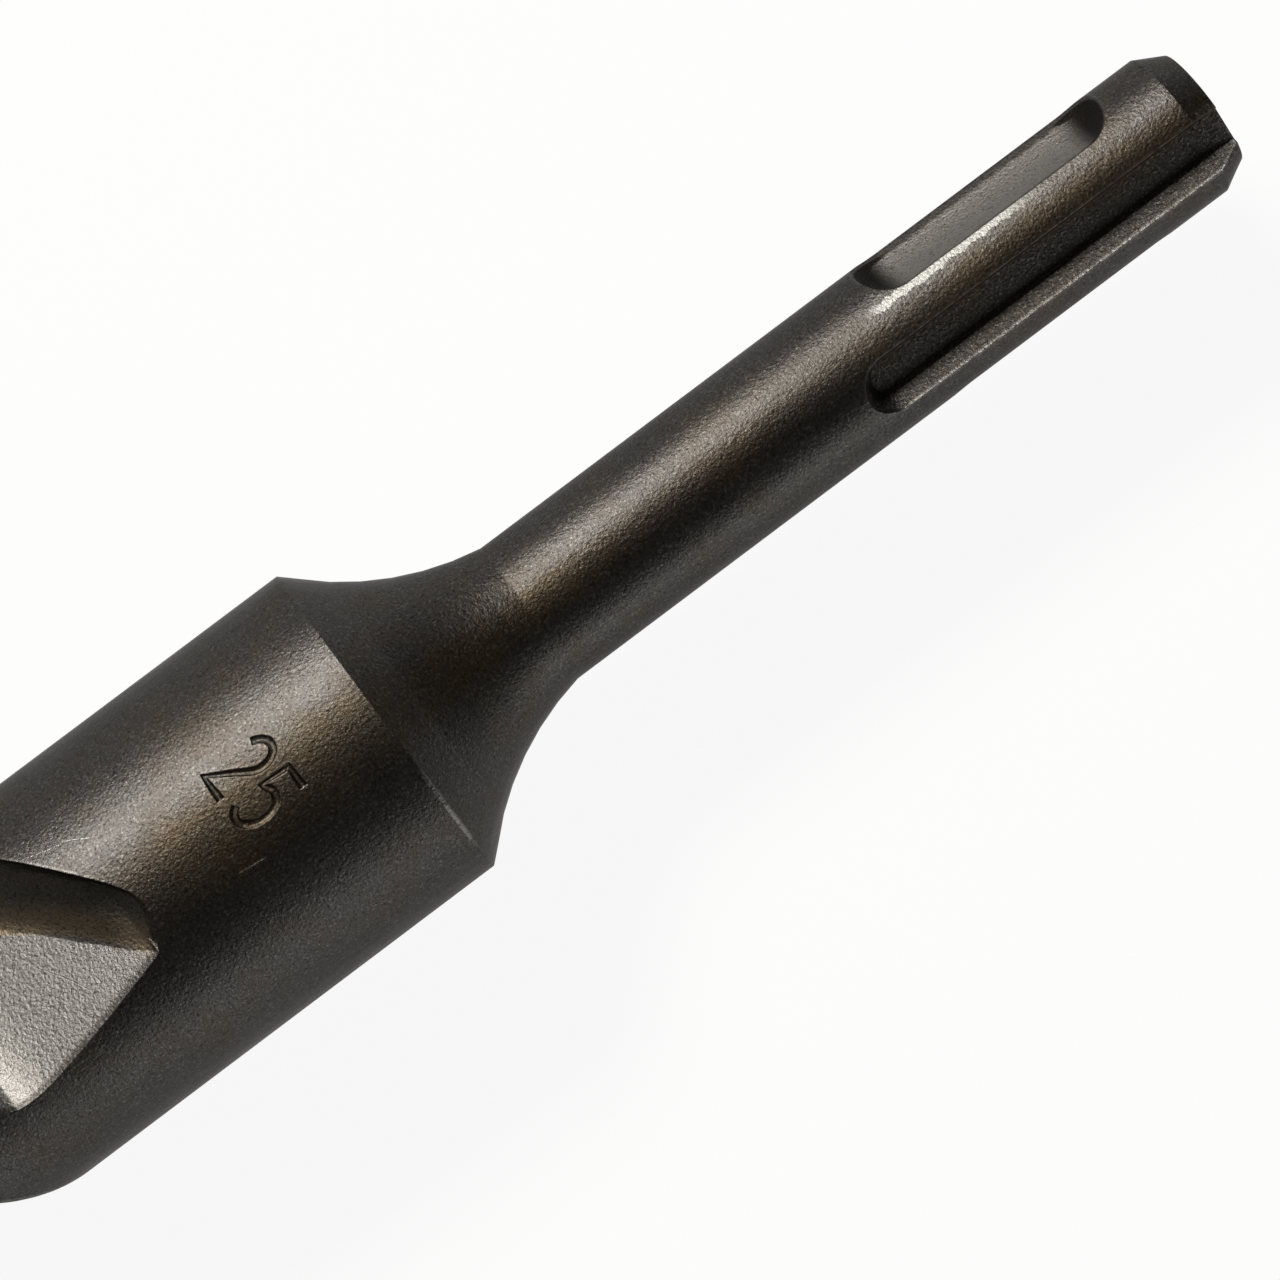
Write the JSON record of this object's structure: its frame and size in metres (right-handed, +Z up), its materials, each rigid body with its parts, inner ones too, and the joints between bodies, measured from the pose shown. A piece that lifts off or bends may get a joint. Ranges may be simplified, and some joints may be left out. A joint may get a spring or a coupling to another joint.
{
  "type": "sds plus drill bit",
  "caption": "Hammer drill bit with a slotted and grooved shank, flared collar, right-hand spiral flutes and a brazed carbide tip.",
  "frame": {"origin": "on the bit's axis at the shank's striking face", "axes": "+X along the axis, out of the striking face and away from the point; +Z up as the bit lies on a bench"},
  "size_m": [0.26, 0.0244, 0.0222],
  "materials": {
    "tool_steel": "dark shot-blasted and oiled tool steel",
    "carbide": "ground tungsten carbide"
  },
  "bodies": {
    "root": {"steel_body": "tool_steel", "carbide_tip": "carbide"}
  },
  "joints": []
}
